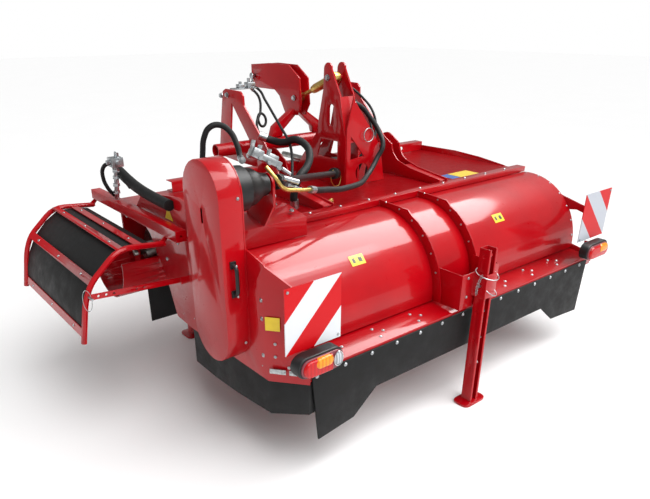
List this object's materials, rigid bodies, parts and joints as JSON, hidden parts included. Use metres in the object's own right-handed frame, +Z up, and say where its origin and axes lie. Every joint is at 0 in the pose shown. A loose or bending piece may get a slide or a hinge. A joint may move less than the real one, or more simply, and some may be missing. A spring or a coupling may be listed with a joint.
{
  "type": "haulm topper",
  "caption": "Tractor-mounted flail topper for potato haulm: curved hood over a flail rotor, cross auger with side outlet and deflector, linkage headstock, belt drive and parking stands.",
  "frame": {"origin": "on the ground under the middle of the outer box", "axes": "+X to the machine's right-hand side seen from behind (long axis), +Y towards the tractor, +Z up"},
  "size_m": [3.0257, 2.0245, 1.6425],
  "materials": {
    "red_paint": "gloss red paint",
    "black_rubber": "matt black rubber",
    "black_plastic": "matt black plastic",
    "zinc_plate": "bright zinc plate",
    "bare_steel": "bare steel",
    "grey_casting": "grey paint on cast iron",
    "yellow_zinc": "yellow passivated zinc",
    "board_sheet": "reflective white sheet",
    "lamp_plastic": "clear red plastic"
  },
  "bodies": {
    "housing": {"side_plate_left": "red_paint", "side_plate_right": "red_paint", "deck_plate": "red_paint", "front_beam": "red_paint", "front_plate": "red_paint", "auger_trough": "red_paint", "hood_panel_left": "red_paint", "hood_panel_centre": "red_paint", "hood_panel_right": "red_paint", "rib_left": "red_paint", "rib_right": "red_paint", "rear_shelf": "red_paint", "drive_pedestal": "red_paint", "stand_bracket": "red_paint", "mast": "red_paint", "brace_left": "red_paint", "brace_right": "red_paint", "belt_backplate": "red_paint", "outlet_beam": "red_paint", "rear_flap": "black_rubber", "side_skirt_left": "black_rubber", "side_skirt_right": "black_rubber", "front_flap": "black_rubber", "drive_belt": "black_rubber", "main_hose": "black_rubber", "loop_hose": "black_rubber", "bridge_hose": "black_rubber", "hose_sleeve": "black_rubber", "shaft_guard": "black_plastic", "outlet_post": "zinc_plate", "gearbox": "grey_casting", "auger_motor": "grey_casting", "warning_board_left": "board_sheet", "warning_board_right": "board_sheet", "rear_lamp_left": "lamp_plastic", "rear_lamp_right": "lamp_plastic"},
    "rotor": {"rotor": "bare_steel", "lower_pulley": "grey_casting"},
    "flails_a": {"flail_row_a": "bare_steel"},
    "flails_b": {"flail_row_b": "bare_steel"},
    "flails_c": {"flail_row_c": "bare_steel"},
    "upper_drive": {"upper_pulley": "grey_casting"},
    "cardan": {"cross_shaft": "black_plastic"},
    "input": {"input_shaft": "bare_steel"},
    "auger": {"auger": "bare_steel"},
    "rear_stand": {"rear_stand": "red_paint"},
    "front_stand_left": {"front_stand_left": "red_paint"},
    "front_stand_right": {"front_stand_right": "red_paint"},
    "belt_cover": {"belt_cover": "red_paint", "cover_handle": "black_plastic"},
    "deflector": {"deflector_frame": "red_paint", "deflector_sheet": "black_rubber"},
    "deflector_link": {"deflector_link": "red_paint"},
    "headstock": {"headstock_frame": "red_paint", "gooseneck": "red_paint", "lower_link_pin_left": "bare_steel", "lower_link_pin_right": "bare_steel", "top_link_pin": "zinc_plate"},
    "turnbuckle": {"turnbuckle_barrel": "yellow_zinc"},
    "turnbuckle_screw": {"turnbuckle_screw": "yellow_zinc"}
  },
  "joints": [
    {"name": "rotor_spin", "type": "hinge", "parent": "housing", "child": "rotor", "pos_m": [0.2223, -0.4972, 0.65], "axis": [1, 0, 0], "continuous": true},
    {"name": "flail_swing_a", "type": "hinge", "parent": "rotor", "child": "flails_a", "pos_m": [0.2223, -0.4972, 0.535], "axis": [1, 0, 0], "range_deg": [-100, 100]},
    {"name": "flail_swing_b", "type": "hinge", "parent": "rotor", "child": "flails_b", "pos_m": [0.2223, -0.39761, 0.7075], "axis": [1, 0, 0], "range_deg": [-5, 240]},
    {"name": "flail_swing_c", "type": "hinge", "parent": "rotor", "child": "flails_c", "pos_m": [0.2223, -0.59679, 0.7075], "axis": [1, 0, 0], "range_deg": [-240, 5]},
    {"name": "upper_pulley_spin", "type": "hinge", "parent": "housing", "child": "upper_drive", "pos_m": [-0.7777, -0.4972, 1.238], "axis": [1, 0, 0], "continuous": true},
    {"name": "cardan_spin", "type": "hinge", "parent": "housing", "child": "cardan", "pos_m": [-0.7157, -0.4912, 1.236], "axis": [0.8104, 0.5601, -0.1722], "continuous": true},
    {"name": "input_spin", "type": "hinge", "parent": "housing", "child": "input", "pos_m": [0.2223, 0.3073, 1.065], "axis": [0, 1, 0], "continuous": true},
    {"name": "auger_spin", "type": "hinge", "parent": "housing", "child": "auger", "pos_m": [0.2223, 0.4373, 0.73], "axis": [1, 0, 0], "continuous": true},
    {"name": "rear_stand_slide", "type": "slide", "parent": "housing", "child": "rear_stand", "axis": [0, 0, 1], "range_m": [0, 0.3]},
    {"name": "front_stand_left_slide", "type": "slide", "parent": "housing", "child": "front_stand_left", "axis": [0, 0, 1], "range_m": [0, 0.3]},
    {"name": "front_stand_right_slide", "type": "slide", "parent": "housing", "child": "front_stand_right", "axis": [0, 0, 1], "range_m": [0, 0.3]},
    {"name": "belt_cover_swing", "type": "hinge", "parent": "housing", "child": "belt_cover", "pos_m": [-0.9677, -0.3477, 0.94], "axis": [0, 0, 1], "range_deg": [-90, 0]},
    {"name": "deflector_fold", "type": "hinge", "parent": "housing", "child": "deflector", "pos_m": [-1.0677, 0.3073, 0.934], "axis": [0, 1, 0], "range_deg": [0, 70]},
    {"name": "deflector_link_swing", "type": "hinge", "parent": "housing", "child": "deflector_link", "pos_m": [-0.9927, -0.1147, 0.746], "axis": [0, 1, 0], "range_deg": [-80, 0]},
    {"name": "headstock_tilt", "type": "hinge", "parent": "housing", "child": "headstock", "pos_m": [0.2223, 0.2473, 1.145], "axis": [1, 0, 0], "range_deg": [-5, 5]},
    {"name": "turnbuckle_turn", "type": "hinge", "parent": "housing", "child": "turnbuckle", "pos_m": [0.2223, 0.2123, 1.565], "axis": [1, 0, 0], "range_deg": [-4, 4]},
    {"name": "turnbuckle_extend", "type": "slide", "parent": "turnbuckle", "child": "turnbuckle_screw", "axis": [0, 0.9275, -0.3738], "range_m": [-0.036, 0.036]}
  ],
  "couplings": [
    {"joint": "upper_pulley_spin", "follows": "rotor_spin", "ratio": 0.8},
    {"joint": "cardan_spin", "follows": "rotor_spin", "ratio": 0.8},
    {"joint": "input_spin", "follows": "rotor_spin", "ratio": 0.8},
    {"joint": "turnbuckle_turn", "follows": "headstock_tilt", "ratio": 0.4755},
    {"joint": "turnbuckle_extend", "follows": "headstock_tilt", "m_per_rad": -0.3765}
  ]
}
